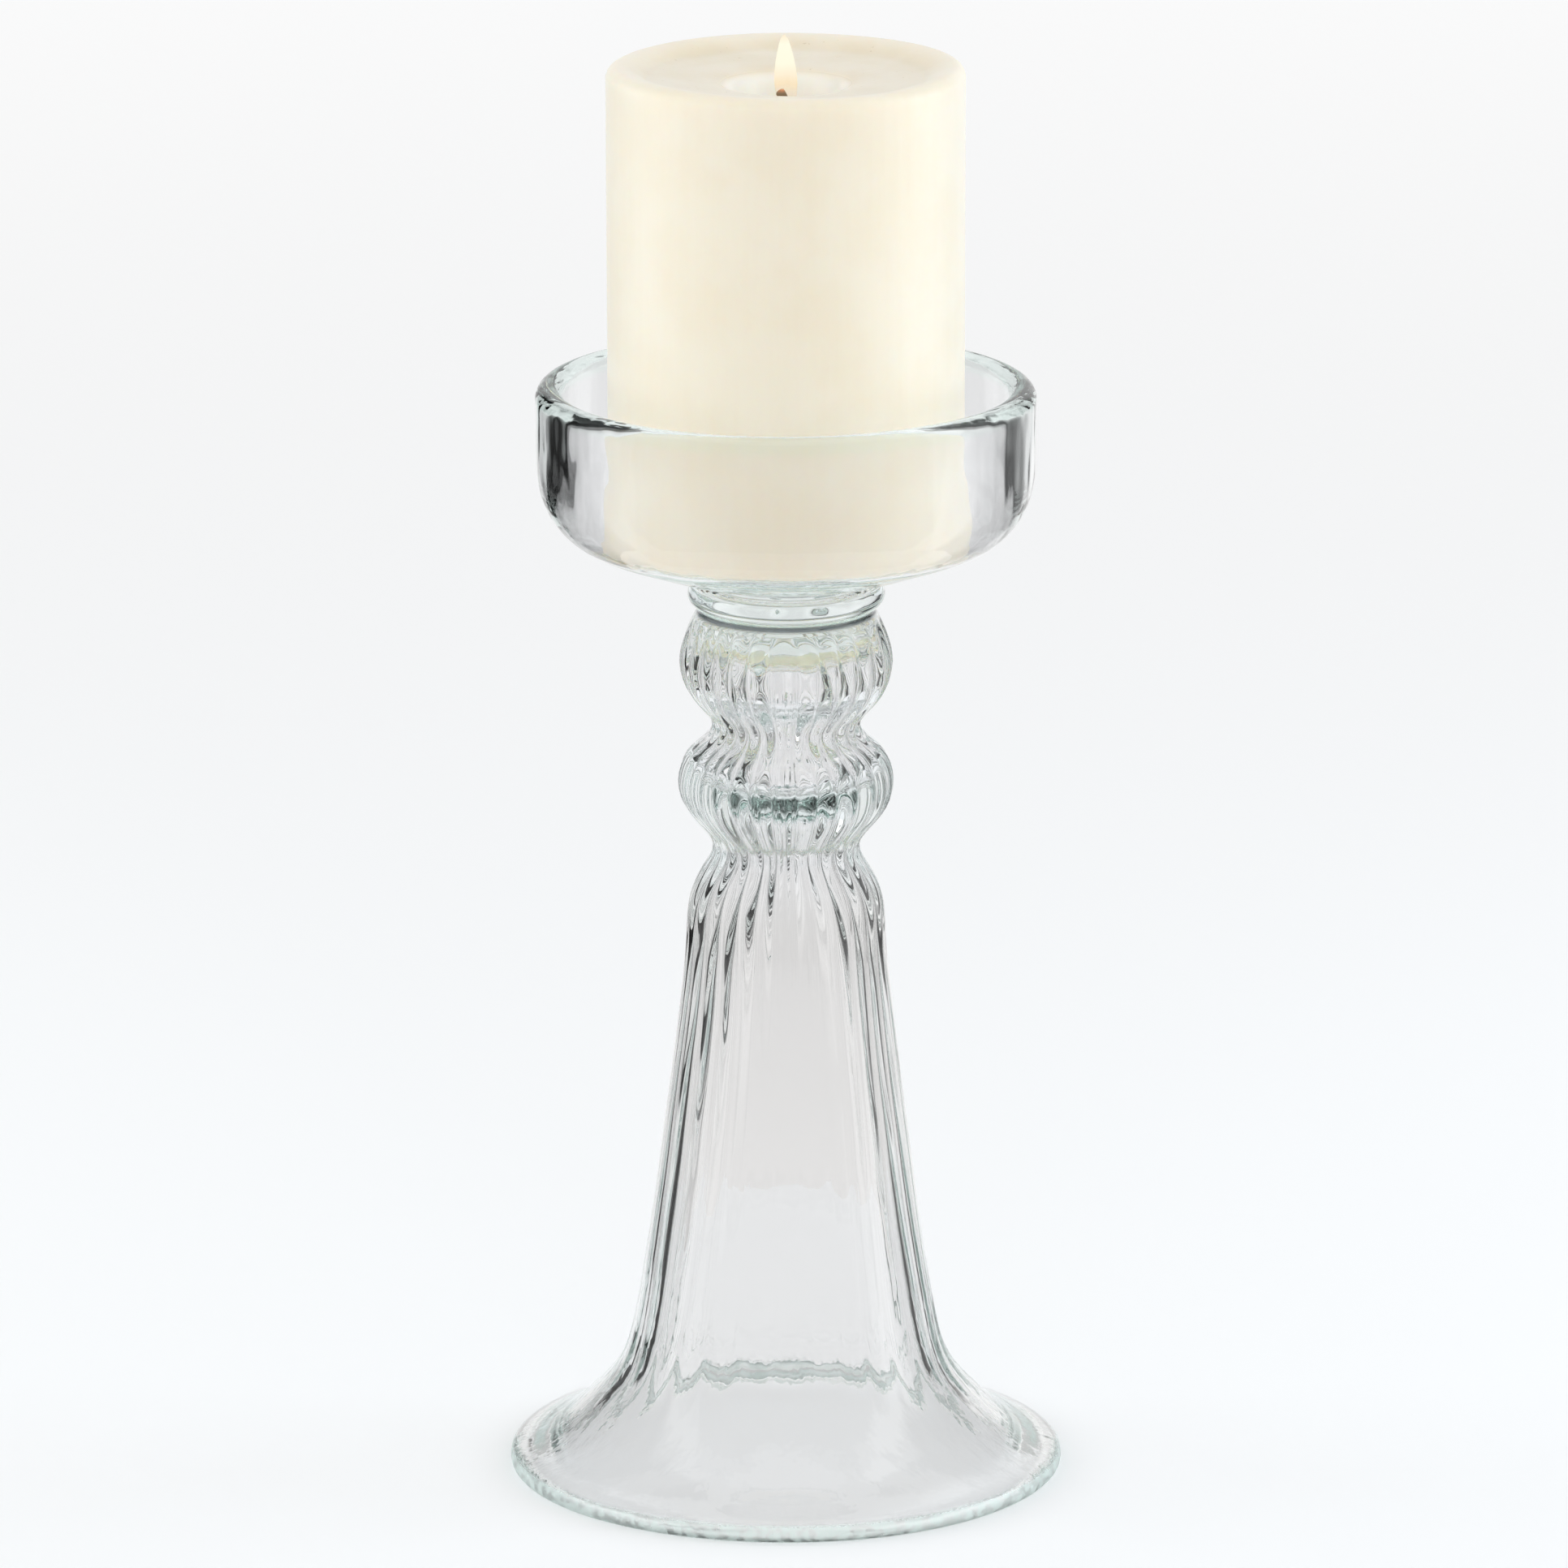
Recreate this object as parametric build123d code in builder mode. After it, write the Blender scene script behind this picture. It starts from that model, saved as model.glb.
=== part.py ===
from build123d import *
import os
from math import cos, pi, sin

# Clear glass pillar-candle holder with its candle, in millimetres.
# The origin is on the table at the centre of the foot and +Z is up.

# Blown stem: one long bubble, ribbed in a mould, necked in twice and flared open at the foot.
RIB_COUNT = 28
LOWER_NECK_Z = 137.4
UPPER_NECK_Z = 164.2
COLLAR_BASE_Z = 190.2
LOWER_NECK_SECTION = (LOWER_NECK_Z, 15.6, 0.8)
UPPER_NECK_SECTION = (UPPER_NECK_Z, 15.8, 0.8)

# Height, radius over the rib crests and rib depth.
BELL_SECTIONS = [
    (0.0, 58.6, 0.0),
    (0.7, 59.1, 0.0),
    (2.2, 59.3, 0.0),
    (3.6, 58.9, 0.0),
    (4.6, 57.6, 0.0),
    (6.0, 54.2, 0.0),
    (8.2, 49.6, 0.0),
    (14.0, 43.0, 0.2),
    (22.0, 36.1, 0.5),
    (33.0, 32.4, 0.6),
    (50.0, 29.5, 0.6),
    (75.0, 26.1, 0.6),
    (100.0, 23.0, 0.6),
    (118.0, 21.3, 0.8),
    (128.0, 20.2, 0.9),
    (133.5, 17.4, 0.9),
    LOWER_NECK_SECTION,
]
LOWER_KNOP_SECTIONS = [
    LOWER_NECK_SECTION,
    (143.0, 18.9, 1.0),
    (148.2, 22.4, 1.2),
    (153.6, 22.9, 1.2),
    (158.0, 21.0, 1.1),
    (161.4, 17.3, 0.9),
    UPPER_NECK_SECTION,
]
UPPER_KNOP_SECTIONS = [
    UPPER_NECK_SECTION,
    (168.6, 18.8, 1.0),
    (174.0, 22.1, 1.2),
    (178.0, 22.8, 1.2),
    (183.0, 21.9, 1.1),
    (187.0, 20.2, 0.9),
    (COLLAR_BASE_Z, 18.8, 0.8),
]

# Wall of the hollow as radius and height, from the foot up to a dome under the collar. The lower half of
# the lower knop is thick, where the glass was folded in on itself.
HOLLOW_WALL = [
    (54.0, 0.0),
    (48.4, 5.2),
    (40.9, 11.9),
    (33.4, 20.8),
    (29.6, 32.3),
    (26.7, 49.6),
    (23.3, 74.6),
    (20.2, 99.7),
    (18.2, 117.8),
    (15.2, 127.6),
    (11.3, 134.0),
    (10.3, 139.5),
    (10.9, 146.4),
    (14.4, 150.6),
    (17.9, 153.4),
    (18.8, 156.0),
    (16.6, 158.6),
    (12.9, 161.6),
    (11.3, 164.6),
    (12.0, 167.6),
    (15.2, 171.4),
    (18.4, 175.6),
    (16.4, 180.2),
    (9.0, 182.8),
    (0.0, 183.3),
]
HOLLOW_WALL_TANGENTS = [(-1, 1.2), (-1, 0)]

# Collar: the glass disc that joins the stem to the cup.
COLLAR_RADIUS = 21.1
COLLAR_TOP_Z = 195.6
COLLAR_EDGE_RADIUS = 2.4

# Candle cup.
CUP_SEAT_RADIUS = 15.0
CUP_FLOOR_Z = 205.7
CUP_INNER_RADIUS = 47.2
CUP_OUTER_RADIUS = 53.2
CUP_CORNER_RADIUS = 8.0
CUP_WALL_TOP_Z = 235.5
CUP_UNDERSIDE = [(18.0, 197.2), (37.6, 202.4), (46.4, 206.4), (51.6, 213.6), (CUP_OUTER_RADIUS, 225.0)]
CUP_UNDERSIDE_TANGENTS = [(1, 0.9), (0, 1)]

# Pillar candle, 3 x 4 inches.
CANDLE_RADIUS = 38.1
CANDLE_HEIGHT = 101.6
CANDLE_EDGE_RADIUS = 2.5
CANDLE_FOOT_EDGE_RADIUS = 1.5
TOP_LAND_WIDTH = 0.5
TOP_RIM_WIDTH = 6.0
DISH_OUTER_DROP = 1.6
DISH_INNER_DROP = 3.6
DISH_TANGENTS = [(-1, -0.3), (-1, -0.08)]
BOWL_RADIUS = 13.0
BOWL_DEPTH = 10.4
BOWL_WALL_RADIUS = 10.4
BOWL_WALL_HEIGHT = 3.7
BOWL_TANGENTS = [(-0.5, -1), (-1, 0)]
POOL_DEPTH = 3.2

# Wick and the metal tab that holds its foot.
WICK_RADIUS = 1.0
WICK_STRAIGHT_ABOVE_POOL = 0.6
WICK_BEND_RADIUS = 8.0
WICK_BEND_ANGLE = 35
WICK_TIP_ROUNDING = 0.6
TAB_RADIUS = 7.5
TAB_THICKNESS = 0.4
TAB_TUBE_RADIUS = 1.6
TAB_TUBE_HEIGHT = 6.0

CUP_RIM_RADIUS = (CUP_OUTER_RADIUS - CUP_INNER_RADIUS) / 2
CANDLE_TOP_Z = CUP_FLOOR_Z + CANDLE_HEIGHT
BOWL_EDGE_Z = CANDLE_TOP_Z - DISH_INNER_DROP
BOWL_FLOOR_Z = BOWL_EDGE_Z - BOWL_DEPTH
POOL_TOP_Z = BOWL_FLOOR_Z + POOL_DEPTH


def ribbed_loft(sections):
    """Loft closed outlines whose radius dips between the rib crests."""
    rings = []
    for height, crest_radius, rib_depth in sections:
        outline = []
        for step in range(2 * RIB_COUNT):
            angle = pi * step / RIB_COUNT
            radius = crest_radius - rib_depth * (step % 2)
            outline.append((radius * cos(angle), radius * sin(angle)))
        with BuildSketch(Plane.XY.offset(height)) as ring:
            with BuildLine():
                Spline(*outline, periodic=True)
            make_face()
        rings.append(ring.sketch)
    loft(sections=rings)


# Hollow of the blown stem, cut from the bell and from both knops.
with BuildPart() as stem_hollow:
    with BuildSketch(Plane.XZ):
        with BuildLine():
            Spline(*HOLLOW_WALL, tangents=HOLLOW_WALL_TANGENTS)
            Polyline(HOLLOW_WALL[-1], (0, HOLLOW_WALL[0][1]), HOLLOW_WALL[0])
        make_face()
    revolve(axis=Axis.Z)

# Foot: a tall hollow bell on a flared flange, open underneath and at its neck.
with BuildPart() as bell_foot:
    ribbed_loft(BELL_SECTIONS)
    add(stem_hollow.part, mode=Mode.SUBTRACT)
bell_foot.part.label = "bell_foot"

# Knops: the two bulges of the stem, whose hollow runs on through the necks.
with BuildPart() as lower_knop:
    ribbed_loft(LOWER_KNOP_SECTIONS)
    add(stem_hollow.part, mode=Mode.SUBTRACT)
lower_knop.part.label = "lower_knop"

with BuildPart() as upper_knop:
    ribbed_loft(UPPER_KNOP_SECTIONS)
    add(stem_hollow.part, mode=Mode.SUBTRACT)
upper_knop.part.label = "upper_knop"

# Collar: a disc with a round edge between the stem and the cup.
with BuildPart() as collar:
    with BuildSketch(Plane.XY.offset(COLLAR_BASE_Z)):
        Circle(COLLAR_RADIUS)
    extrude(amount=COLLAR_TOP_Z - COLLAR_BASE_Z)
    fillet(collar.edges().filter_by(GeomType.CIRCLE), COLLAR_EDGE_RADIUS)
collar.part.label = "collar"

# Cup: thick floor, rounded inner corner and a full-round rim.
with BuildPart() as candle_cup:
    with BuildSketch(Plane.XZ):
        with BuildLine():
            seat = Line((0, COLLAR_TOP_Z), (CUP_SEAT_RADIUS, COLLAR_TOP_Z))
            under = Spline(seat @ 1, *CUP_UNDERSIDE, tangents=CUP_UNDERSIDE_TANGENTS)
            wall = Line(under @ 1, (CUP_OUTER_RADIUS, CUP_WALL_TOP_Z))
            rim_top = (CUP_OUTER_RADIUS - CUP_RIM_RADIUS, CUP_WALL_TOP_Z + CUP_RIM_RADIUS)
            rim = ThreePointArc(wall @ 1, rim_top, (CUP_INNER_RADIUS, CUP_WALL_TOP_Z))
            inner_wall = Line(rim @ 1, (CUP_INNER_RADIUS, CUP_FLOOR_Z + CUP_CORNER_RADIUS))
            corner = RadiusArc(
                inner_wall @ 1,
                (CUP_INNER_RADIUS - CUP_CORNER_RADIUS, CUP_FLOOR_Z),
                CUP_CORNER_RADIUS,
            )
            Polyline(corner @ 1, (0, CUP_FLOOR_Z), seat @ 0)
        make_face()
    revolve(axis=Axis.Z)
candle_cup.part.label = "candle_cup"

# Wick sustainer: a pressed disc with a crimped tube around the wick's foot.
with BuildPart() as wick_sustainer:
    with BuildSketch(Plane.XY.offset(CUP_FLOOR_Z)):
        Circle(TAB_RADIUS)
    extrude(amount=TAB_THICKNESS)
    with BuildSketch(Plane.XY.offset(CUP_FLOOR_Z + TAB_THICKNESS)):
        Circle(TAB_TUBE_RADIUS)
        Circle(WICK_RADIUS, mode=Mode.SUBTRACT)
    extrude(amount=TAB_TUBE_HEIGHT)
wick_sustainer.part.label = "wick_sustainer"

# Hollow burnt into the top: a shallow dish inside the rim and a bowl around the wick.
with BuildPart() as burnt_hollow:
    with BuildSketch(Plane.XZ):
        with BuildLine():
            rim_inside = (CANDLE_RADIUS - CANDLE_EDGE_RADIUS - TOP_LAND_WIDTH, CANDLE_TOP_Z)
            dish_edge = (CANDLE_RADIUS - TOP_RIM_WIDTH, CANDLE_TOP_Z - DISH_OUTER_DROP)
            bowl_edge = (BOWL_RADIUS, BOWL_EDGE_Z)
            dish = Spline(rim_inside, dish_edge, bowl_edge, tangents=DISH_TANGENTS)
            bowl_wall = (BOWL_WALL_RADIUS, BOWL_FLOOR_Z + BOWL_WALL_HEIGHT)
            bowl = Spline(dish @ 1, bowl_wall, (0, BOWL_FLOOR_Z), tangents=BOWL_TANGENTS)
            Polyline(bowl @ 1, (0, CANDLE_TOP_Z), rim_inside)
        make_face()
    revolve(axis=Axis.Z)

# Wax body: the pillar, less the burnt hollow, the metal tab's pocket and the wick's channel.
with BuildPart() as wax_body:
    with BuildSketch(Plane.XY.offset(CUP_FLOOR_Z)):
        Circle(CANDLE_RADIUS)
    extrude(amount=CANDLE_HEIGHT)
    fillet(wax_body.faces().sort_by(Axis.Z)[-1].edges(), CANDLE_EDGE_RADIUS)
    fillet(wax_body.faces().sort_by(Axis.Z)[0].edges(), CANDLE_FOOT_EDGE_RADIUS)
    add(burnt_hollow.part, mode=Mode.SUBTRACT)
    add(wick_sustainer.part, mode=Mode.SUBTRACT)
    with BuildSketch(Plane.XY.offset(CUP_FLOOR_Z + TAB_THICKNESS)):
        Circle(WICK_RADIUS)
    extrude(amount=CANDLE_HEIGHT, mode=Mode.SUBTRACT)
wax_body.part.label = "wax_body"

# Liquid wax in the bottom of the bowl, around the wick.
with BuildPart() as melt_pool:
    add(burnt_hollow.part)
    split(bisect_by=Plane.XY.offset(POOL_TOP_Z), keep=Keep.BOTTOM)
    with BuildSketch(Plane.XY.offset(BOWL_FLOOR_Z)):
        Circle(WICK_RADIUS)
    extrude(amount=POOL_DEPTH, mode=Mode.SUBTRACT)
melt_pool.part.label = "melt_pool"

# Wick: straight up through the candle, then bent over where it has burnt.
with BuildPart() as wick:
    with BuildLine(Plane.XZ) as wick_path:
        straight = Line(
            (0, CUP_FLOOR_Z + TAB_THICKNESS),
            (0, POOL_TOP_Z + WICK_STRAIGHT_ABOVE_POOL),
        )
        JernArc(straight @ 1, (0, 1), radius=WICK_BEND_RADIUS, arc_size=WICK_BEND_ANGLE)
    with BuildSketch(Plane.XY.offset(CUP_FLOOR_Z + TAB_THICKNESS)):
        Circle(WICK_RADIUS)
    sweep(path=wick_path.wires()[0])
    fillet(wick.faces().sort_by(Axis.Z)[-1].edges(), WICK_TIP_ROUNDING)
wick.part.label = "wick"

os.makedirs("parts", exist_ok=True)
pieces = [
    bell_foot,
    lower_knop,
    upper_knop,
    collar,
    candle_cup,
    wax_body,
    melt_pool,
    wick,
    wick_sustainer,
]
for piece in pieces:
    export_step(piece.part, f"parts/{piece.part.label}.step")
    box = piece.part.bounding_box()
    print(f"{piece.part.label}: volume {piece.part.volume:.0f} mm3, z {box.min.Z:.2f} to {box.max.Z:.2f}")
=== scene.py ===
from math import cos, pi, radians, sin, sqrt

import bpy
import numpy as np
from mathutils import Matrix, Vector


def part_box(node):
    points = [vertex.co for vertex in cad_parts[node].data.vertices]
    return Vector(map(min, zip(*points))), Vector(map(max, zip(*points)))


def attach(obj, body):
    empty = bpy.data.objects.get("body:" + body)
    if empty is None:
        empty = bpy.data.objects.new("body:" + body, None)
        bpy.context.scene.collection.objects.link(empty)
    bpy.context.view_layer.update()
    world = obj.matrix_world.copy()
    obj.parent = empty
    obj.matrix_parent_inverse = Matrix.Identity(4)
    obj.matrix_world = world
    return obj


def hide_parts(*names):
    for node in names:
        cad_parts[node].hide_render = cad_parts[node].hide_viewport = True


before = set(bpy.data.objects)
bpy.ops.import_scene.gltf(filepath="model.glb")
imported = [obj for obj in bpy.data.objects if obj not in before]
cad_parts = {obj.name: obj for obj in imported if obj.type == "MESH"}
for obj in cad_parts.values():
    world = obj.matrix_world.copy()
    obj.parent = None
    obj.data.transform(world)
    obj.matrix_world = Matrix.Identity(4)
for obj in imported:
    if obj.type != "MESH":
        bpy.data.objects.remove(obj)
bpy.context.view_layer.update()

# Sizes are in millimetres, in the frame of the CAD model, and turned into metres where a mesh is made. The studio's
# camera and lights are in metres.
MM = 0.001


def box_mm(node):
    """Lowest and highest corner of a CAD node in millimetres."""
    low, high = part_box(node)
    return low / MM, high / MM


FOOT_HIGH = box_mm("bell_foot")[1]
LOWER_KNOP_HIGH = box_mm("lower_knop")[1]
COLLAR_LOW, COLLAR_HIGH = box_mm("collar")
CUP_LOW, CUP_HIGH = box_mm("candle_cup")
WAX_LOW, WAX_HIGH = box_mm("wax_body")
POOL_LOW, POOL_HIGH = box_mm("melt_pool")
WICK_HIGH = box_mm("wick")[1]

FOOT_R = FOOT_HIGH.x
LOWER_NECK_Z = FOOT_HIGH.z
UPPER_NECK_Z = LOWER_KNOP_HIGH.z
COLLAR_R = COLLAR_HIGH.x
COLLAR_Z = COLLAR_LOW.z
CUP_Z = CUP_LOW.z
CUP_R = CUP_HIGH.x
CUP_FLOOR_Z = WAX_LOW.z
WAX_R = WAX_HIGH.x
WAX_TOP_Z = WAX_HIGH.z

RIBS = 28
STEPS_PER_RIB = 9
HOLDER_SEGMENTS = RIBS * STEPS_PER_RIB
WAX_SEGMENTS = 192
FLAME_SEGMENTS = 40
FLOOR_SEGMENTS = 96
SCREEN_COLUMNS = 301

RIM_WALL = 6.0

# Height and rib depth.
RIB_DEPTHS = (
    (9, 0.0),
    (16, 0.2),
    (26, 0.34),
    (60, 0.32),
    (95, 0.36),
    (118, 0.6),
    (135, 0.8),
    (150, 1.0),
    (182, 0.9),
    (190, 0.0),
)
# Height and the share of the ribs' depth that the hollow's wall follows.
HOLLOW_FOLLOWS = ((0, 0.3), (30, 0.45), (70, 0.64), (110, 0.82))
CUP_RIPPLE = 0.07

# Painted shade: the dark lines in the creases under the collar and under the cup: height, half width and how dark.
PAINTED_CREASE_SHADES = ((189.5, 1.1, 0.96), (196.3, 0.7, 0.8))

# Flame: share of its height, colour, and how solid it looks.
FLAME_COLOURS = (
    (0.0, (0.35, 0.28, 0.30), 0.05),
    (0.18, (1.0, 0.62, 0.30), 0.10),
    (0.29, (0.97, 0.74, 0.44), 0.22),
    (0.38, (0.98, 0.80, 0.54), 0.75),
    (0.48, (1.0, 0.88, 0.67), 0.96),
    (0.62, (1.02, 0.98, 0.78), 1.0),
    (0.85, (1.02, 0.99, 0.80), 1.0),
    (1.0, (1.02, 0.84, 0.62), 0.85),
)

CAMERA_PLACE = (-0.0004, -2.555, 0.817)
CAMERA_TILT = 0.255
CAMERA_LENS = 284.2

# Each soft panel's name, place, size, colour and watts.
PANELS = (
    ("left_softbox", (-0.9, 0.1, 0.35), (0.5, 1.0), (0.83, 0.93, 1.0), 3.1),
    ("right_softbox", (0.9, 0.1, 0.35), (0.5, 1.0), (0.74, 0.87, 1.0), 4.4),
    ("front_fill", (0.0, -1.7, 0.9), (1.2, 0.8), (0.83, 0.93, 1.0), 5.0),
)
PANELS_AIM = (0, 0, 0.17)

# How bright the round screen is, by the angle in degrees from straight behind the glass, to the right.
SCREEN_SHADES = (
    (-24, 0.95),
    (-16, 0.92),
    (-8, 0.8),
    (8, 0.8),
    (16, 0.92),
    (25, 0.95),
    (30, 1.0),
    (36, 1.0),
    (40, 0.6),
    (46, 0.24),
    (56, 0.07),
    (62, 0.1),
    (84, 0.1),
    (88, 0.6),
    (92, 1.3),
    (108, 1.3),
    (112, 0.6),
    (125, 0.5),
    (250, 0.5),
    (253, 1.0),
    (266, 1.0),
    (270, 0.4),
    (276, 0.04),
    (296, 0.04),
    (304, 0.01),
    (321, 0.01),
    (324, 0.16),
    (327, 0.7),
    (333, 0.85),
    (336, 0.95),
)
SCREEN_R = 210.0
# Height on the screen, and how far a pale part of it has faded there to the brightness of the floor.
SCREEN_FADE = ((-200.0, 1.0), (0.0, 1.0), (20.0, 0.75), (50.0, 0.25), (90.0, 0.0), (520.0, 0.0))
FLOOR_SHADE = 0.9
PALE = 0.75


# ---------------------------------------------------------------------------------------------- outlines and meshes

def smooth_curve(points, count, start=None, end=None):
    """Points along a cubic spline through the given ones, with a set direction at an end where one is given."""
    p = np.array(points, float)
    t = np.concatenate([[0.0], np.cumsum(np.linalg.norm(np.diff(p, axis=0), axis=1))])
    h = np.diff(t)
    n = len(p)
    matrix = np.zeros((n, n))
    right = np.zeros((n, p.shape[1]))
    for i in range(1, n - 1):
        matrix[i, i - 1 : i + 2] = h[i], 2 * (h[i - 1] + h[i]), h[i - 1]
        right[i] = 3 * (h[i] * (p[i] - p[i - 1]) / h[i - 1] + h[i - 1] * (p[i + 1] - p[i]) / h[i])
    ends = ((0, start, 1, h[0], p[1] - p[0]), (-1, end, -2, h[-1], p[-1] - p[-2]))
    for row, direction, near, step, chord in ends:
        if direction is not None:
            matrix[row, row] = 1.0
            right[row] = np.array(direction, float) / np.linalg.norm(direction)
        else:
            matrix[row, row] = 2.0
            matrix[row, near] = 1.0
            right[row] = 3 * chord / step
    slope = np.linalg.solve(matrix, right)
    u = np.linspace(0, t[-1], count)
    k = np.clip(np.searchsorted(t, u, side="right") - 1, 0, n - 2)
    s = ((u - t[k]) / h[k])[:, None]
    step = h[k][:, None]
    return (
        (1 + 2 * s) * (1 - s) ** 2 * p[k]
        + s * (1 - s) ** 2 * step * slope[k]
        + s**2 * (3 - 2 * s) * p[k + 1]
        + s**2 * (s - 1) * step * slope[k + 1]
    )


def arc(centre, radius, start, end, count):
    """Points on a circular arc from one angle to another, in degrees from +r towards +z."""
    angle = np.radians(np.linspace(start, end, count))
    return np.stack([centre[0] + radius * np.cos(angle), centre[1] + radius * np.sin(angle)], axis=1)


def join_runs(*runs):
    """One outline from runs that share their end points."""
    return np.concatenate([runs[0]] + [run[1:] for run in runs[1:]])


def add_mesh(name, vertices, faces, material):
    """A smooth-shaded mesh object from vertices in millimetres."""
    mesh = bpy.data.meshes.new(name)
    mesh.from_pydata((np.asarray(vertices) * MM).tolist(), [], faces)
    mesh.polygons.foreach_set("use_smooth", np.ones(len(mesh.polygons), bool))
    mesh.materials.append(material)
    mesh.update()
    piece = bpy.data.objects.new(name, mesh)
    bpy.context.scene.collection.objects.link(piece)
    return piece


def angles_round(count):
    """One row of angles, evenly round the axis."""
    return np.linspace(0, 2 * pi, count, endpoint=False)[None, :]


def turned(rings, flip=False):
    """Vertices and faces of a closed turned shape. rings has one row of points per outline point, and its first and
    last rows lie on the axis, where they become one point each."""
    rows, columns = rings.shape[:2]
    vertices = [rings[0, 0], *rings[1:-1].reshape(-1, 3), rings[-1, 0]]
    last = len(vertices) - 1
    faces = []
    for j in range(columns):
        k = (j + 1) % columns
        faces.append((0, 1 + k, 1 + j))
        for i in range(rows - 3):
            a = 1 + i * columns
            faces.append((a + j, a + k, a + columns + k, a + columns + j))
        a = 1 + (rows - 3) * columns
        faces.append((last, a + j, a + k))
    if flip:
        faces = [face[::-1] for face in faces]
    return vertices, faces


# ---------------------------------------------------------------------------------------------- shader nodes

def new_material(name):
    material = bpy.data.materials.new(name)
    material.use_nodes = True
    return material, material.node_tree, material.node_tree.nodes["Principled BSDF"]


def set_socket(tree, socket, value):
    """Gives an input a number, a colour or another node's output socket."""
    if isinstance(value, bpy.types.NodeSocket):
        tree.links.new(value, socket)
    else:
        socket.default_value = value


def set_input(tree, node, name, value):
    set_socket(tree, node.inputs[name], value)


def add_node(tree, kind, **inputs):
    """A shader node with the given inputs."""
    node = tree.nodes.new("ShaderNode" + kind)
    for name, value in inputs.items():
        set_input(tree, node, name.replace("_", " "), value)
    return node


def maths(tree, operation, *values, kind="Math"):
    """A maths node on one or two values."""
    node = tree.nodes.new("ShaderNode" + kind)
    node.operation = operation
    for socket, value in zip(node.inputs, values):
        set_socket(tree, socket, value)
    return node.outputs[0]


def product(tree, first, second):
    return maths(tree, "MULTIPLY", first, second)


def place_in_piece(tree):
    """The place on the piece in millimetres: the whole vector, its distance from the axis and its height."""
    metres = add_node(tree, "TexCoord").outputs["Object"]
    place = maths(tree, "MULTIPLY", metres, (1 / MM,) * 3, kind="VectorMath")
    x, y, z = add_node(tree, "SeparateXYZ", Vector=place).outputs
    squares = maths(tree, "ADD", product(tree, x, x), product(tree, y, y))
    return place, maths(tree, "SQRT", squares), z


def ramp_over(tree, value, low, high):
    """0 where value is at or before low, 1 where it is at or past high, and smooth between. low may be the larger."""
    ramp = add_node(tree, "MapRange", Value=value, From_Min=low, From_Max=high)
    ramp.interpolation_type = "SMOOTHSTEP"
    return ramp.outputs["Result"]


def spread(tree, value, low, high):
    """A 0 to 1 value spread over another span."""
    return add_node(tree, "MapRange", Value=value, To_Min=low, To_Max=high).outputs["Result"]


def noise(tree, place, size, stretch=(1, 1, 1), detail=3.0):
    """Noise with features of about size millimetres, drawn out where stretch is under 1."""
    stretched = add_node(tree, "Mapping", Vector=place, Scale=stretch).outputs[0]
    return add_node(tree, "TexNoise", Vector=stretched, Scale=1 / size, Detail=detail).outputs["Fac"]


def blend(tree, amount, first, second):
    """A mix of two colours."""
    return add_node(tree, "MixRGB", Fac=amount, Color1=first, Color2=second).outputs[0]


def bump(tree, shader, height, depth):
    """Relief on a shader, depth millimetres deep."""
    node = add_node(tree, "Bump", Height=height, Distance=depth * MM)
    tree.links.new(node.outputs[0], shader.inputs["Normal"])


def surface_mix(tree, amount, first, second):
    """Makes the surface a mix of two shader nodes."""
    mix = add_node(tree, "MixShader", Fac=amount)
    tree.links.new(first.outputs[0], mix.inputs[1])
    tree.links.new(second.outputs[0], mix.inputs[2])
    tree.links.new(mix.outputs[0], tree.nodes["Material Output"].inputs["Surface"])


# ---------------------------------------------------------------------------------------------- glass

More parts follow.
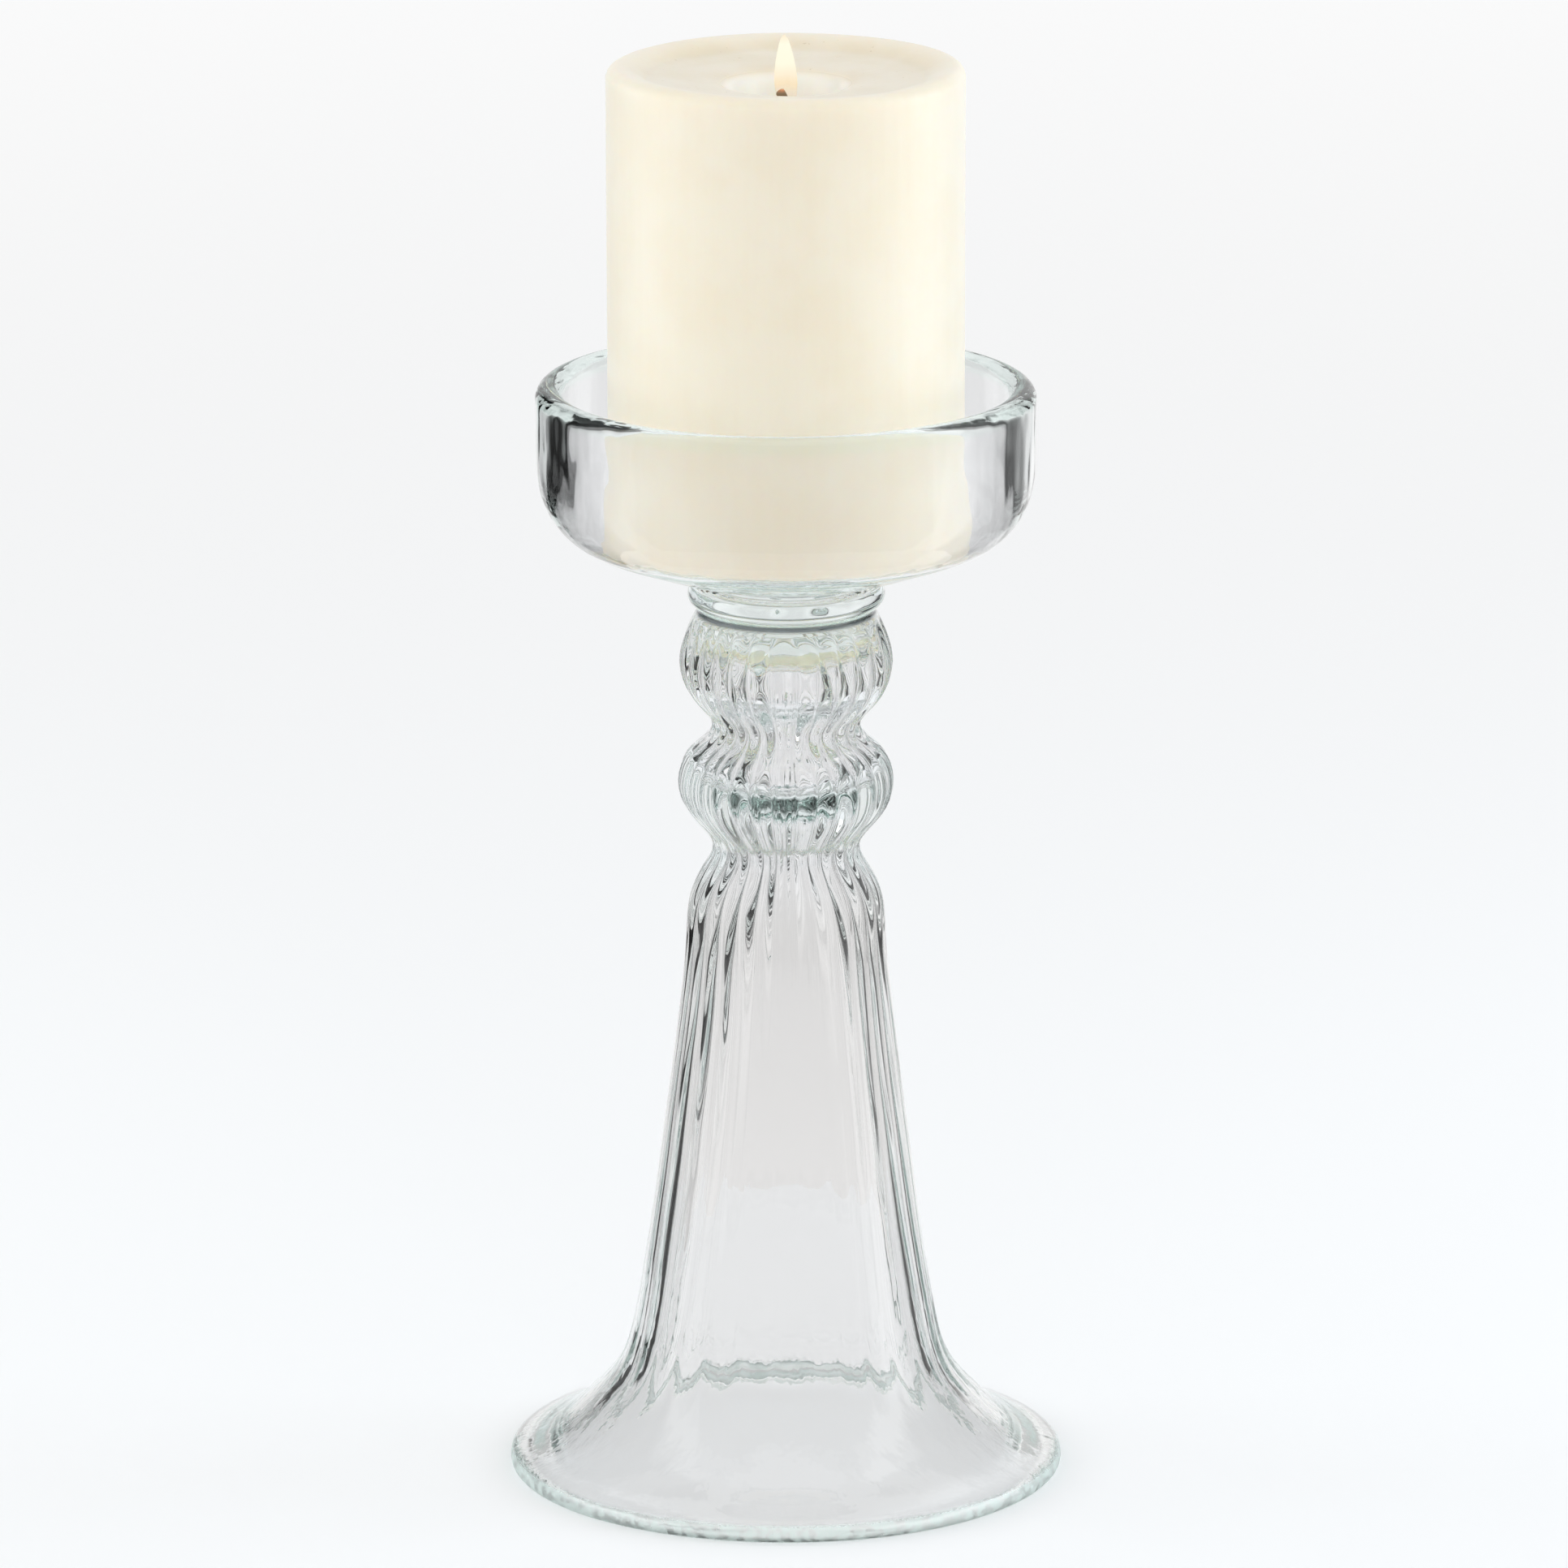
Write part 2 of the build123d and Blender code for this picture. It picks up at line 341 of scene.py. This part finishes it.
def holder_outline():
    """The glass holder's section, from the middle of the cup's floor round to the top of the bell's hollow, as
    radius and height, with the rib depth and the depth of the hand-worked ripple at each point."""
    inner_r = CUP_R - RIM_WALL
    corner = 8.0
    rim = (CUP_R - RIM_WALL / 2, CUP_HIGH.z - RIM_WALL / 2)
    collar_mid_z = COLLAR_Z + (CUP_Z - COLLAR_Z) / 2
    cup_meets_collar = (17.2, 195.4)
    collar_meets_stem = (19.9, 187.9)
    flange_meets_rim = (57.3, 4.8)
    rim_meets_hollow = (54.0, 0.7)

    floor = smooth_curve([(0, CUP_FLOOR_Z), (inner_r - corner, CUP_FLOOR_Z)], 14)
    inner_corner = arc((inner_r - corner, CUP_FLOOR_Z + corner), corner, -90, 0, 14)
    inner_wall = smooth_curve([(inner_r, CUP_FLOOR_Z + corner), (inner_r + 0.1, rim[1])], 18)
    rim_run = arc(rim, RIM_WALL / 2, 180, 0, 22)
    outer = smooth_curve(
        [
            (CUP_R, rim[1]),
            (CUP_R, 225.0),
            (51.6, 213.6),
            (46.4, 206.4),
            (37.6, 202.4),
            (24.9, 198.2),
            (18.0, 197.0),
            (16.4, 196.2),
            cup_meets_collar,
        ],
        64,
        start=(0, -1),
        end=(1, -0.25),
    )
    collar_edge = smooth_curve(
        [
            cup_meets_collar,
            (19.8, 195.2),
            (COLLAR_R, collar_mid_z),
            (19.8, 190.5),
            (18.9, 189.4),
            collar_meets_stem,
        ],
        26,
        start=(1, -0.1),
        end=(0.5, -1),
    )
    stem = smooth_curve(
        [
            collar_meets_stem,
            (21.9, 183.0),
            (22.8, 178.0),
            (22.1, 174.0),
            (18.8, 168.6),
            (15.8, UPPER_NECK_Z),
            (17.3, 161.4),
            (21.0, 158.0),
            (22.9, 153.6),
            (22.4, 148.2),
            (18.9, 143.0),
            (15.6, LOWER_NECK_Z),
            (17.4, 133.5),
            (20.2, 128.0),
            (21.3, 118.0),
            (23.0, 100.0),
            (26.1, 75.0),
            (29.5, 50.0),
            (32.4, 33.0),
            (36.1, 22.0),
            (43.0, 14.0),
            (49.6, 8.2),
            (54.4, 5.9),
            flange_meets_rim,
        ],
        116,
        start=(0.5, -1),
        end=(1, -0.45),
    )
    rim_edge = smooth_curve(
        [flange_meets_rim, (58.8, 3.7), (FOOT_R, 2.2), (59.0, 0.6), (58.0, 0.0), (56.0, 0.0), rim_meets_hollow],
        22,
        start=(1, -0.45),
        end=(-1, 0.6),
    )
    hollow = smooth_curve(
        [
            rim_meets_hollow,
            (48.4, 5.2),
            (40.9, 11.9),
            (33.4, 20.8),
            (29.6, 32.3),
            (26.7, 49.6),
            (23.3, 74.6),
            (20.2, 99.7),
            (18.2, 117.8),
            (15.2, 127.6),
            (11.3, 134.0),
            (10.3, 139.5),
            (10.9, 146.4),
            (14.4, 150.6),
            (17.9, 153.4),
            (18.8, 156.0),
            (16.6, 158.6),
            (12.9, 161.6),
            (11.3, 164.6),
            (12.0, 167.6),
            (15.2, 171.4),
            (18.4, 175.6),
            (16.4, 180.2),
            (9.0, 182.8),
            (0.0, 183.3),
        ],
        104,
        start=(-1, 0.6),
        end=(-1, 0),
    )
    cup_inside = join_runs(floor, inner_corner, inner_wall)
    above_stem = join_runs(cup_inside, rim_run, outer, collar_edge)
    section = join_runs(above_stem, stem, rim_edge, hollow)
    r, z = section.T

    stem_starts = len(above_stem)
    hollow_starts = len(section) - len(hollow)
    rib_depth = np.interp(z, *zip(*RIB_DEPTHS))
    follow = np.interp(z, *zip(*HOLLOW_FOLLOWS))
    depth = np.zeros(len(section))
    depth[stem_starts:hollow_starts] = rib_depth[stem_starts:hollow_starts]
    depth[hollow_starts:] = (follow * rib_depth * np.clip((r - 4.0) / 10.0, 0, 1))[hollow_starts:]

    fade = np.clip((r - 36) / 10, 0, 1) * np.clip((CUP_HIGH.z - 4 - z) / 8, 0, 1)
    ripple = np.zeros(len(section))
    ripple[: len(cup_inside)] = CUP_RIPPLE * fade[: len(cup_inside)]
    return section, depth, ripple


def rib_profile(angle):
    """0 on a rib's crest and 1 in the valley, with round crests and tighter valleys."""
    softness = 0.02
    c = np.sqrt(np.cos(RIBS * angle / 2) ** 2 + softness)
    return (sqrt(1 + softness) - c) / (sqrt(1 + softness) - sqrt(softness))


def hand_made(angle, z):
    """Slow unevenness of hand-worked glass, in millimetres of radius."""
    return (
        0.10 * np.sin(2 * angle + 0.7 + z / 61)
        + 0.07 * np.sin(3 * angle - 1.1 - z / 43)
        + 0.05 * np.sin(5 * angle + 2.0 + z / 17)
        + 0.04 * np.sin(z / 5.3 + 2.3 * np.sin(angle + 0.4))
    )


def ribbed_rings(section, depth, ripple):
    """Rings of points round the axis for an outline with a rib depth and a ripple depth at each point."""
    angle = angles_round(HOLDER_SEGMENTS)
    r, z = section[:, :1], section[:, 1:2]
    drift = 0.035 * np.sin(2 * angle + z / 37) + 0.02 * np.sin(5 * angle - z / 23 + 1.0)
    uneven = 1 + 0.25 * np.sin(3 * angle + 1.9) + 0.15 * np.sin(7 * angle + z / 19)
    wave = np.sin(z / 2.6 + 1.6 * np.sin(2 * angle + 0.8) + 0.8 * np.sin(3 * angle))
    off_axis = np.clip(r / 12.0, 0, 1)
    radius = r - depth[:, None] * uneven * rib_profile(angle + drift)
    radius = radius + off_axis * hand_made(angle, z)
    radius = radius + ripple[:, None] * wave
    off_floor = np.clip(z / 3.0, 0, 1)
    lift = 0.12 * off_axis * off_floor * np.sin(2 * angle + r / 21 + 0.6)
    height = np.maximum(z + lift, 0)
    return np.stack([radius * np.cos(angle), radius * np.sin(angle), height], axis=2)


def glass_material():
    """Hand-worked soda-lime glass, finely drawn: clear with a green cast where it is thick, a painted grey shade in
    the bell, painted dark shade in the creases, and ground along the foot."""
    material, tree, shader = new_material("clear_glass")
    place, distance, height = place_in_piece(tree)

    foot_edge = ramp_over(tree, distance, FOOT_R - 2.6, FOOT_R - 1.2)
    ground = product(tree, ramp_over(tree, height, 4.4, 3.2), foot_edge)
    grain = noise(tree, place, 0.9, detail=4.0)
    flecks = ramp_over(tree, noise(tree, place, 2.2), 0.42, 0.60)
    frosted = product(tree, ground, spread(tree, flecks, 0.5, 0.12))
    set_input(tree, shader, "Transmission Weight", spread(tree, frosted, 1.0, 0.0))
    set_input(tree, shader, "Roughness", product(tree, ground, spread(tree, grain, 0.15, 0.6)))

    lip = ramp_over(tree, height, CUP_HIGH.z - 4.5, CUP_HIGH.z - 2.5)
    colour = blend(tree, lip, (0.965, 0.96, 0.97, 1), (0.91, 0.965, 0.945, 1))
    # Painted shade: the bell's glass is tinted grey, which dims what shows through it.
    bell = ramp_over(tree, height, LOWER_NECK_Z - 4.0, LOWER_NECK_Z - 14.0)
    colour = blend(tree, bell, colour, (0.945, 0.936, 0.934, 1))
    ground_colour = blend(tree, flecks, (0.84, 0.94, 0.90, 1), (0.92, 0.98, 0.96, 1))
    colour = blend(tree, ground, colour, ground_colour)
    outside = ramp_over(tree, distance, 15.0, 16.0)
    # Painted shade: each crease gets a dark line in the glass's colour.
    for crease_z, half_width, darkness in PAINTED_CREASE_SHADES:
        off = maths(tree, "ABSOLUTE", maths(tree, "SUBTRACT", height, crease_z))
        crease_shade = product(tree, outside, ramp_over(tree, off, half_width, 0.3 * half_width))
        colour = blend(tree, spread(tree, crease_shade, 0.0, darkness), colour, (0.02, 0.03, 0.035, 1))
    set_input(tree, shader, "Base Color", colour)

    waves = noise(tree, place, 7.0, (1, 1, 0.35), detail=1.0)
    drawn = noise(tree, place, 1.7, (1, 1, 0.3), detail=1.0)
    flared = ramp_over(tree, height, 60.0, 25.0)
    relief = maths(tree, "ADD", waves, product(tree, spread(tree, flared, 0.0, 0.28), drawn))
    bump(tree, shader, relief, 0.16)

    shader.inputs["IOR"].default_value = 1.5
    absorb = add_node(tree, "VolumeAbsorption", Color=(0.82, 0.97, 0.93, 1), Density=10.0)
    tree.links.new(absorb.outputs[0], tree.nodes["Material Output"].inputs["Volume"])
    return material


def build_glass():
    vertices, faces = turned(ribbed_rings(*holder_outline()), flip=True)
    holder = add_mesh("glass_holder", vertices, faces, glass_material())
    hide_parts("bell_foot", "lower_knop", "upper_knop", "collar", "candle_cup")
    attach(holder, "holder")


# ---------------------------------------------------------------------------------------------- candle

def wax_material():
    """Poured ivory wax: softly mottled, with faint draw marks down its side and a glossier melted top, painted darker
    as shade in its dish, with a painted highlight round the bowl and a painted warm glow from the flame round the
    wick.
    """
    material, tree, shader = new_material("ivory_wax")
    place, distance, height = place_in_piece(tree)

    top = ramp_over(tree, height, WAX_TOP_Z - 14.5, WAX_TOP_Z - 13.5)
    dish = product(tree, top, ramp_over(tree, distance, WAX_R - 3.5, WAX_R - 9.0))
    bowl = product(tree, top, ramp_over(tree, distance, 14.2, 11.8))
    # Painted light: a warm peach glow from the flame on the wax round the wick.
    painted_flame_glow = product(tree, top, ramp_over(tree, distance, 11.0, 5.5))

    mottle = ramp_over(tree, noise(tree, place, 16.0, detail=4.0), 0.35, 0.65)
    drawn = noise(tree, place, 2.2, (1, 1, 0.06))
    wall = blend(tree, mottle, (0.86, 0.768, 0.60, 1), (0.875, 0.795, 0.645, 1))
    wall = blend(tree, spread(tree, drawn, 0.0, 0.35), wall, (0.92, 0.86, 0.74, 1))
    specks = ramp_over(tree, noise(tree, place, 1.2, detail=2.0), 0.70, 0.76)
    # Painted shade: the dish on the top, reaching onto the rim, is a darker cream than the wall; the darker specks in
    # it are marks in the wax.
    dish_shade_and_specks = blend(tree, mottle, (0.80, 0.70, 0.52, 1), (0.84, 0.75, 0.59, 1))
    dish_shade_and_specks = blend(tree, specks, dish_shade_and_specks, (0.68, 0.58, 0.40, 1))
    colour = blend(tree, dish, wall, dish_shade_and_specks)
    # Painted highlight: the bowl's wet edge round the wick is whitened in its colour.
    colour = blend(tree, bowl, colour, (0.94, 0.90, 0.83, 1))
    set_input(tree, shader, "Base Color", blend(tree, painted_flame_glow, colour, (0.95, 0.83, 0.62, 1)))

    matt = spread(tree, noise(tree, place, 5.0), 0.36, 0.52)
    glossier = blend(tree, dish, matt, (0.28, 0.28, 0.28, 1))
    set_input(tree, shader, "Roughness", blend(tree, bowl, glossier, (0.12, 0.12, 0.12, 1)))
    bump(tree, shader, noise(tree, place, 1.3, (1, 1, 0.4), detail=5.0), 0.05)

    shader.inputs["IOR"].default_value = 1.44
    shader.inputs["Subsurface Weight"].default_value = 0.5
    shader.inputs["Subsurface Radius"].default_value = (1.0, 0.72, 0.45)
    shader.inputs["Subsurface Scale"].default_value = 0.004
    shader.inputs["Sheen Weight"].default_value = 0.3
    shader.inputs["Sheen Roughness"].default_value = 0.55
    return material


def liquid_wax_material():
    """Molten wax: clear, warm and wet, with the faint ripple of a skin that has set and melted again."""
    material, tree, shader = new_material("liquid_wax")
    place, distance, _ = place_in_piece(tree)
    # Darker, warmer amber towards the wick.
    depth = ramp_over(tree, distance, 9.0, 1.5)
    cloud = noise(tree, place, 3.0)
    shallow = blend(tree, cloud, (0.93, 0.86, 0.68, 1), (0.90, 0.80, 0.58, 1))
    set_input(tree, shader, "Base Color", blend(tree, depth, shallow, (0.86, 0.70, 0.42, 1)))
    set_input(tree, shader, "Roughness", spread(tree, cloud, 0.03, 0.09))
    bump(tree, shader, noise(tree, place, 2.5, detail=1.0), 0.03)
    shader.inputs["IOR"].default_value = 1.44
    shader.inputs["Subsurface Weight"].default_value = 0.6
    shader.inputs["Subsurface Radius"].default_value = (1.0, 0.7, 0.4)
    shader.inputs["Subsurface Scale"].default_value = 0.004
    shader.inputs["Coat Weight"].default_value = 0.5
    shader.inputs["Coat Roughness"].default_value = 0.03
    return material


def wick_material():
    """Braided cotton: waxed and off-white down in the candle, charred black-brown where it has burnt, with an ember
    at its tip."""
    material, tree, shader = new_material("wick_cotton")
    place, _, height = place_in_piece(tree)
    charred = ramp_over(tree, height, POOL_HIGH.z - 0.4, POOL_HIGH.z + 0.9)
    weave = add_node(tree, "TexWave", Vector=place, Scale=0.26, Distortion=1.2, Detail=2.0)
    weave.bands_direction = "DIAGONAL"
    plait = weave.outputs["Fac"]
    cotton = blend(tree, plait, (0.62, 0.52, 0.34, 1), (0.84, 0.76, 0.58, 1))
    crust = noise(tree, place, 0.35, detail=5.0)
    char = blend(tree, crust, (0.010, 0.006, 0.004, 1), (0.07, 0.028, 0.012, 1))
    set_input(tree, shader, "Base Color", blend(tree, charred, cotton, char))
    set_input(tree, shader, "Roughness", spread(tree, crust, 0.65, 0.95))
    ember = product(tree, ramp_over(tree, height, WICK_HIGH.z - 0.9, WICK_HIGH.z), crust)
    shader.inputs["Emission Color"].default_value = (1.0, 0.22, 0.04, 1)
    set_input(tree, shader, "Emission Strength", spread(tree, ember, 0.0, 0.9))
    bump(tree, shader, plait, 0.25)
    return material


def tab_material():
    """Pressed tinplate, brushed in one direction and dulled by wax."""
    material, tree, shader = new_material("tinned_steel")
    place, _, _ = place_in_piece(tree)
    brushed = noise(tree, place, 0.5, (1, 0.05, 1), detail=4.0)
    waxy = ramp_over(tree, noise(tree, place, 2.0), 0.45, 0.62)
    set_input(tree, shader, "Base Color", blend(tree, waxy, (0.62, 0.62, 0.60, 1), (0.50, 0.47, 0.40, 1)))
    set_input(tree, shader, "Roughness", spread(tree, brushed, 0.22, 0.5))
    shader.inputs["Metallic"].default_value = 1.0
    bump(tree, shader, brushed, 0.02)
    return material


def build_wax():
    foot_edge = 1.5
    rim_edge = 2.6
    shrink = 0.18
    foot = join_runs(
        smooth_curve([(0, WAX_LOW.z), (WAX_R - foot_edge, WAX_LOW.z)], 12),
        arc((WAX_R - foot_edge, WAX_LOW.z + foot_edge), foot_edge, -90, 0, 8),
    )
    wall = smooth_curve([(WAX_R, WAX_LOW.z + foot_edge), (WAX_R, WAX_TOP_Z - rim_edge)], 60)
    rim = arc((WAX_R - rim_edge, WAX_TOP_Z - rim_edge), rim_edge, 0, 90, 12)
    dish = smooth_curve(
        [
            (WAX_R - rim_edge, WAX_TOP_Z),
            (WAX_R - 4.8, WAX_TOP_Z - 0.35),
            (WAX_R - 6.6, WAX_TOP_Z - 1.2),
            (WAX_R - 8.2, WAX_TOP_Z - 2.2),
            (WAX_R - 11.0, WAX_TOP_Z - 2.7),
            (20, WAX_TOP_Z - 3.1),
            (15.4, WAX_TOP_Z - 3.6),
            (13.0, WAX_TOP_Z - 4.6),
            (11.4, WAX_TOP_Z - 7.2),
            (9.8, WAX_TOP_Z - 10.6),
            (7.0, WAX_TOP_Z - 12.9),
            (0, POOL_LOW.z),
        ],
        96,
        start=(-1, 0),
        end=(-1, 0),
    )
    section = join_runs(foot, wall, rim, dish)
    angle = angles_round(WAX_SEGMENTS)
    r, z = section[:, :1], section[:, 1:2]
    wobble = np.clip(r / 20, 0, 1) * (0.12 * np.sin(2 * angle + z / 50) + 0.06 * np.sin(5 * angle + z / 31 + 1))
    radius = r + wobble - shrink
    top = np.clip((z - (WAX_TOP_Z - 8)) / 8, 0, 1) * np.clip((r - 6) / 10, 0, 1)
    rise = top * (0.18 * np.sin(2 * angle + 0.4) + 0.1 * np.sin(3 * angle + 2) - 0.28)
    vertices, faces = turned(np.stack([radius * np.cos(angle), radius * np.sin(angle), z + rise], axis=2))
    wax = add_mesh("pillar_wax", vertices, faces, wax_material())
    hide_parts("wax_body")
    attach(wax, "candle")


def flame_material(base, height):
    """A candle flame: see-through and bluish at its foot, orange over the wick, then pale yellow with a peach tip."""
    material, tree, shader = new_material("flame_glow")
    tree.nodes.remove(shader)
    place, _, z = place_in_piece(tree)
    flicker = noise(tree, place, 2.5, (1, 1, 0.3), detail=1.0)
    share = add_node(tree, "MapRange", Value=z, From_Min=base, From_Max=base + height).outputs["Result"]
    wavering = blend(tree, 0.06, share, flicker)
    shares, colours, solidity = zip(*FLAME_COLOURS)
    greys = [(value,) * 3 for value in solidity]
    ramps = []
    for shades in (colours, greys):
        ramp = tree.nodes.new("ShaderNodeValToRGB")
        tree.links.new(wavering, ramp.inputs[0])
        # A new ramp has two stops.
        stops = ramp.color_ramp.elements
        for i, (where, shade) in enumerate(zip(shares, shades)):
            stop = stops[i] if i < 2 else stops.new(where)
            stop.position = where
            stop.color = (*shade, 1)
        ramps.append(ramp.outputs["Color"])
    clear = add_node(tree, "BsdfTransparent")
    glow = add_node(tree, "Emission", Color=ramps[0], Strength=1.0)
    surface_mix(tree, ramps[1], clear, glow)
    return material


def build_flame():
    base = WICK_HIGH.z - 4.5
    height = 16.1
    depth = 0.85
    outline = smooth_curve(
        [
            (0, base),
            (1.5, base + 1.2),
            (2.25, base + 3.8),
            (2.42, base + 6.0),
            (2.15, base + 9.4),
            (1.85, base + 11.2),
            (1.45, base + 13.0),
            (1.0, base + 14.6),
            (0.5, base + 15.6),
            (0, base + height),
        ],
        48,
        start=(1, 0),
    )
    angle = angles_round(FLAME_SEGMENTS)
    r, z = outline[:, :1], outline[:, 1:2]
    lean = 0.2 - 0.035 * (z - base)
    rings = np.stack([r * np.cos(angle) + lean, depth * r * np.sin(angle), z + 0 * angle], axis=2)
    vertices, faces = turned(rings)
    flame = add_mesh("candle_flame", vertices, faces, flame_material(base, height))
    flame.visible_shadow = False
    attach(flame, "candle")


def finish_cad_nodes():
    """Gives the pieces that keep their CAD meshes their materials."""
    materials = {
        "melt_pool": liquid_wax_material(),
        "wick": wick_material(),
        "wick_sustainer": tab_material(),
    }
    for node, material in materials.items():
        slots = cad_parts[node].data.materials
        slots.clear()
        slots.append(material)


# ---------------------------------------------------------------------------------------------- studio

def build_floor():
    """A round pale floor that sweeps up to a low wall far away, and gives off part of its own light, less of it under
    the glass's foot as a painted shadow.
    """
    material, tree, shader = new_material("floor_paper")
    _, distance, _ = place_in_piece(tree)
    shader.inputs["Base Color"].default_value = (0.66, 0.66, 0.66, 1)
    shader.inputs["Roughness"].default_value = 0.9
    shader.inputs["Specular IOR Level"].default_value = 0.0
    shader.inputs["Emission Color"].default_value = (1, 1, 1, 1)
    far = spread(tree, ramp_over(tree, distance, 200.0, 2400.0), 0.265, 0.445)
    # Painted shadow: the floor gives off less of its own light under the glass's foot.
    painted_foot_shadow = spread(tree, ramp_over(tree, distance, 40.0, 75.0), 0.65, 1.0)
    set_input(tree, shader, "Emission Strength", product(tree, far, painted_foot_shadow))

    flat = [(r, 0) for r in (0, 400, 1200, 3000, 6000)]
    sweep = [tuple(point) for point in arc((7000, 1000), 1000, -90, 0, 12)]
    wall = [(8000, 1600)]
    angle = np.linspace(0, 2 * pi, FLOOR_SEGMENTS, endpoint=False)
    rings = np.array([[(r * cos(a), r * sin(a), z) for a in angle] for r, z in flat + sweep + wall])
    rows, columns = rings.shape[:2]
    vertices = [rings[0, 0], *rings[1:].reshape(-1, 3)]
    faces = []
    for j in range(columns):
        k = (j + 1) % columns
        faces.append((0, 1 + j, 1 + k))
        for i in range(rows - 2):
            a = 1 + i * columns
            faces.append((a + j, a + columns + j, a + columns + k, a + k))
    floor = add_mesh("studio_floor", vertices, faces, material)


def build_world():
    """Soft light from overhead, and a dim band above the floor's far wall."""
    world = bpy.data.worlds.new("studio")
    bpy.context.scene.world = world
    world.use_nodes = True
    tree = world.node_tree
    background = tree.nodes["Background"]
    direction = add_node(tree, "TexCoord").outputs["Generated"]
    up = add_node(tree, "SeparateXYZ", Vector=direction).outputs["Z"]
    overhead = ramp_over(tree, up, sin(radians(22)), sin(radians(50)))
    background.inputs["Color"].default_value = (1, 1, 1, 1)
    set_input(tree, background, "Strength", spread(tree, overhead, 0.5, 0.95))


def build_camera():
    data = bpy.data.cameras.new("camera")
    data.lens = CAMERA_LENS
    data.sensor_width = 36
    data.clip_start, data.clip_end = 0.1, 40
    camera = bpy.data.objects.new("camera", data)
    bpy.context.scene.collection.objects.link(camera)
    camera.location = CAMERA_PLACE
    camera.rotation_euler = (pi / 2 - CAMERA_TILT, 0, 0)
    bpy.context.scene.camera = camera
    return camera


def build_turntable(camera):
    """An empty at the object's middle that turns to face the camera. The lights and the screen stand on it."""
    turntable = bpy.data.objects.new("studio_turntable", None)
    bpy.context.scene.collection.objects.link(turntable)
    facing = turntable.constraints.new("LOCKED_TRACK")
    facing.target = camera
    facing.track_axis = "TRACK_NEGATIVE_Y"
    facing.lock_axis = "LOCK_Z"
    return turntable


def build_panels(turntable):
    """Soft light panels that face the object."""
    for name, place, size, colour, watts in PANELS:
        light = bpy.data.lights.new(name, "AREA")
        light.shape = "RECTANGLE"
        light.size, light.size_y = size
        light.energy = watts
        light.color = colour
        panel = bpy.data.objects.new(name, light)
        bpy.context.scene.collection.objects.link(panel)
        panel.location = place
        panel.rotation_euler = (Vector(place) - Vector(PANELS_AIM)).to_track_quat("Z", "Y").to_euler()
        panel.visible_camera = False
        panel.parent = turntable


def build_screen(turntable):
    """A tall round screen that only the glass sees: pale behind it, dark at the sides, with two bright strips and a
    dim front. It gives the glass its dark edges."""
    material, tree, shader = new_material("surround_card")
    tree.nodes.remove(shader)
    shade = add_node(tree, "Attribute")
    shade.attribute_name = "shade"
    glow = add_node(tree, "Emission", Strength=shade.outputs["Fac"])
    # Light on its way to the candle or the floor passes the screen.
    path = add_node(tree, "LightPath")
    lighting = maths(tree, "GREATER_THAN", path.outputs["Diffuse Depth"], 0.5)
    surface_mix(tree, lighting, glow, add_node(tree, "BsdfTransparent"))

    stops, values = zip(*SCREEN_SHADES)
    turns = np.linspace(stops[0], stops[-1], SCREEN_COLUMNS)
    vertices, shades = [], []
    for turn, value in zip(np.radians(turns), np.interp(turns, stops, values)):
        to_floor = max(FLOOR_SHADE - value, 0) if value > PALE else 0.0
        for z, share in SCREEN_FADE:
            vertices.append((SCREEN_R * sin(turn), SCREEN_R * cos(turn), z))
            shades.append(value + share * to_floor)
    rows = len(SCREEN_FADE)
    faces = []
    for i in range(SCREEN_COLUMNS - 1):
        for j in range(rows - 1):
            a = i * rows + j
            faces.append((a, a + 1, a + rows + 1, a + rows))
    screen = add_mesh("surround_card", vertices, faces, material)
    attribute = screen.data.attributes.new("shade", "FLOAT", "POINT")
    attribute.data.foreach_set("value", shades)
    screen.visible_camera = False
    screen.visible_diffuse = False
    screen.visible_shadow = False
    screen.parent = turntable


camera = build_camera()
build_floor()
build_world()
turntable = build_turntable(camera)
build_panels(turntable)
build_screen(turntable)

build_glass()
build_wax()
build_flame()
finish_cad_nodes()

scene = bpy.context.scene
scene.view_settings.view_transform = "Standard"
scene.cycles.transmission_bounces = 32
scene.cycles.max_bounces = 40
scene.cycles.glossy_bounces = 16
scene.cycles.use_denoising = True
scene.cycles.blur_glossy = 0.0
scene.cycles.sample_clamp_indirect = 6.0
